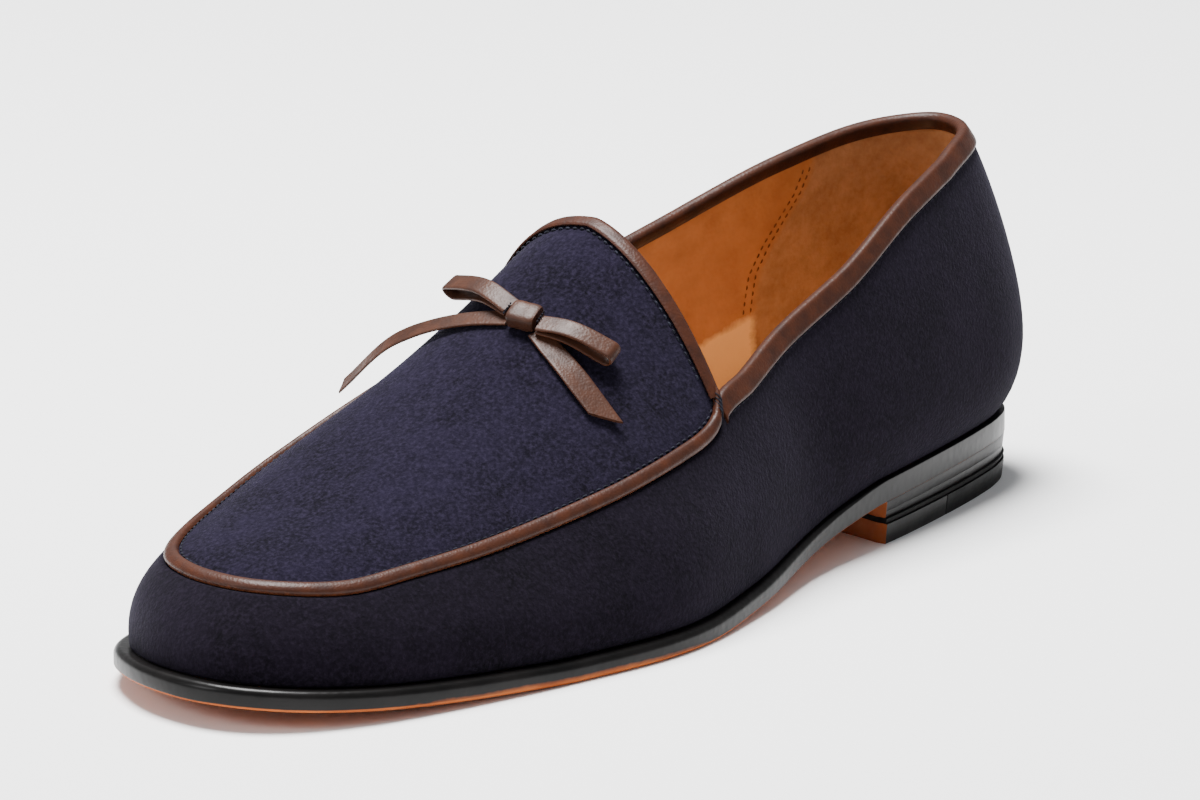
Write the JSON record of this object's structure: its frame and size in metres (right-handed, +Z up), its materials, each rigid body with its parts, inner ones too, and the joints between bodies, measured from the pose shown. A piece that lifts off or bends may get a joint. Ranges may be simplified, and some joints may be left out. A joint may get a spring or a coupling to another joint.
{
  "type": "slip-on loafer shoe",
  "caption": "Low slip-on dress shoe for the left foot: suede upper with a raised apron, leather-bound collar and throat, small ribbon bow, thin leather sole and low stacked heel.",
  "frame": {"origin": "centre of the shoe's box, on the floor that it stands on", "axes": "+X to the toe, +Y to the outer side of a left foot, +Z up"},
  "size_m": [0.3068, 0.1096, 0.0928],
  "materials": {
    "navy_suede": "napped suede",
    "brown_leather": "smooth, soft shine",
    "tan_leather": "smooth lining leather, matt",
    "black_edge": "waxed and polished edge",
    "stacked_leather": "burnished stack",
    "natural_leather": "bare sole leather",
    "rubber": "matt black"
  },
  "bodies": {
    "root": {"upper": "navy_suede", "outsole": "black_edge", "insole": "tan_leather", "heel_stack": "stacked_leather", "heel_dark_lift": "rubber", "heel_rubber": "rubber", "heel_top_piece": "natural_leather", "collar_binding": "brown_leather", "apron_binding": "brown_leather", "throat_binding": "brown_leather", "bow_knot": "brown_leather", "bow_loop_outer": "brown_leather", "bow_loop_inner": "brown_leather", "bow_tail_outer": "brown_leather", "bow_tail_inner": "brown_leather"}
  },
  "joints": []
}
